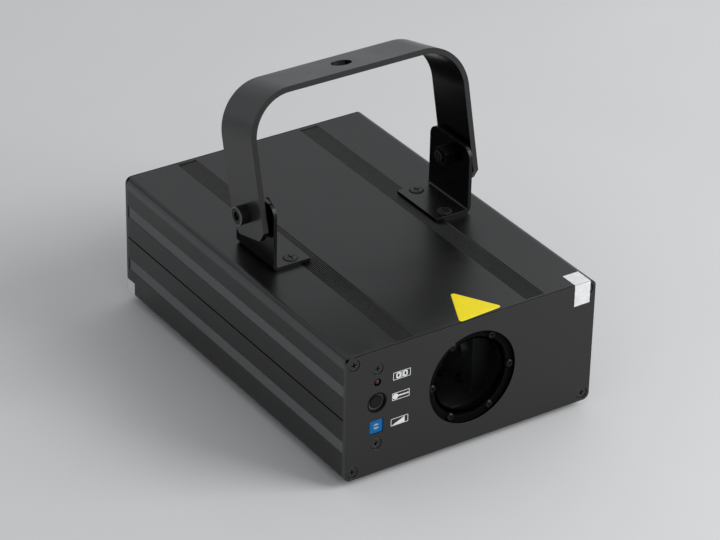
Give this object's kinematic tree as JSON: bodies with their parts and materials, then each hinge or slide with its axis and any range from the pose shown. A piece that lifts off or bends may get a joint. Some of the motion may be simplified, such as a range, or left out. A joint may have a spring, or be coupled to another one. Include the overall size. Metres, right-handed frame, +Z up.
{
  "type": "laser show projector",
  "caption": "Black extruded laser show projector with round beam window, sound control column and a tilting hanging yoke on angle brackets.",
  "frame": {"origin": "on the surface that the feet stand on, under the middle of the part's box", "axes": "+X to the right seen from the front, +Y from the beam window to the rear plate, +Z up"},
  "size_m": [0.15, 0.2191, 0.1668],
  "materials": {
    "shell_anodised": "satin black anodised extrusion",
    "plate_anodised": "satin black anodised sheet",
    "black_steel": "black powder coat",
    "dark_screws": "black oxide",
    "bright_screws": "zinc plated",
    "washer_nylon": "matt black nylon",
    "foot_rubber": "matt black",
    "window_glass": "clear, polished",
    "lamp_red": "clear red",
    "grommet_rubber": "matt black",
    "microphone_can": "dull can with dark felt",
    "trimmer_blue": "blue moulding",
    "trimmer_white": "white moulding",
    "board_green": "green laminate",
    "black_plastic": "fine grained moulding",
    "guard_chrome": "bright plated wire",
    "pin_nickel": "nickel plated",
    "rocker_black": "black moulding",
    "socket_zinc": "black die casting",
    "latch_nickel": "nickel plated",
    "optics_aluminium": "black anodised",
    "brass": "turned",
    "motor_steel": "turned",
    "mirror": "front silvered",
    "component_dark": "moulded parts"
  },
  "bodies": {
    "housing": {"upper_shell": "shell_anodised", "lower_shell": "shell_anodised", "front_plate": "plate_anodised", "rear_plate": "plate_anodised", "plate_screws": "dark_screws", "window_ring": "plate_anodised", "window_glass": "window_glass", "window_screws": "bright_screws", "sound_board": "board_green", "sound_board_spacers": "bright_screws", "sound_board_screws": "dark_screws", "sound_board_nuts": "bright_screws", "sound_led": "lamp_red", "microphone_grommet": "grommet_rubber", "microphone_capsule": "microphone_can", "trimmer_body": "trimmer_blue", "left_bracket": "black_steel", "right_bracket": "black_steel", "bracket_screws": "dark_screws", "bracket_nuts": "bright_screws", "pivot_bolts": "dark_screws", "pivot_washers": "washer_nylon", "pivot_nuts": "dark_screws", "rubber_feet": "foot_rubber", "foot_screws": "bright_screws", "fan_frame": "black_plastic", "fan_guard": "guard_chrome", "fan_screws": "dark_screws", "mains_inlet": "black_plastic", "mains_pins": "pin_nickel", "switch_frame": "black_plastic", "signal_in_socket": "socket_zinc", "signal_in_pins": "pin_nickel", "signal_out_socket": "socket_zinc", "socket_screws": "dark_screws", "mode_switch_frame": "black_plastic", "optics_base": "optics_aluminium", "base_screws": "bright_screws", "standoffs": "brass", "inner_screws": "bright_screws", "laser_module": "optics_aluminium", "laser_nose": "brass", "scanner_block": "optics_aluminium", "clamp_screws": "brass", "x_motor": "motor_steel", "y_motor": "motor_steel", "power_board": "board_green", "power_board_parts": "component_dark", "control_board": "board_green", "control_board_parts": "component_dark"},
    "yoke": {"yoke": "black_steel"},
    "fan_rotor": {"fan_rotor": "black_plastic"},
    "switch_rocker": {"switch_rocker": "rocker_black"},
    "signal_out_latch": {"signal_out_latch": "latch_nickel"},
    "mode_switch_lever": {"mode_switch_lever": "black_plastic"},
    "trimmer_screw": {"trimmer_screw": "trimmer_white"},
    "x_scanner": {"x_shaft": "motor_steel", "x_mirror": "mirror"},
    "y_scanner": {"y_shaft": "motor_steel", "y_mirror": "mirror"}
  },
  "joints": [
    {"name": "yoke_tilt", "type": "hinge", "parent": "housing", "child": "yoke", "pos_m": [0, -0.0015, 0.102], "axis": [1, 0, 0], "range_deg": [-81, 109]},
    {"name": "fan_spin", "type": "hinge", "parent": "housing", "child": "fan_rotor", "pos_m": [0.039, 0.097, 0.0395], "axis": [0, 1, 0], "continuous": true},
    {"name": "x_mirror_turn", "type": "hinge", "parent": "housing", "child": "x_scanner", "pos_m": [0.0005, -0.0785, 0.0274], "axis": [0, 1, 0], "range_deg": [-12, 12]},
    {"name": "y_mirror_turn", "type": "hinge", "parent": "housing", "child": "y_scanner", "pos_m": [0.0005, -0.0785, 0.041], "axis": [1, 0, 0], "range_deg": [-12, 12]},
    {"name": "trimmer_turn", "type": "hinge", "parent": "housing", "child": "trimmer_screw", "pos_m": [-0.0565, -0.1085, 0.03098], "axis": [0, 1, 0], "range_deg": [-135, 135]},
    {"name": "power_rock", "type": "hinge", "parent": "housing", "child": "switch_rocker", "pos_m": [0, 0.1043, 0.02175], "axis": [1, 0, 0], "range_deg": [-18, 0]},
    {"name": "latch_press", "type": "slide", "parent": "housing", "child": "signal_out_latch", "axis": [0, -1, 0], "range_m": [0, 0.0012], "stiffness_N_per_m": 600},
    {"name": "mode_slide", "type": "slide", "parent": "housing", "child": "mode_switch_lever", "axis": [1, 0, 0], "range_m": [-0.0025, 0.0025]}
  ]
}
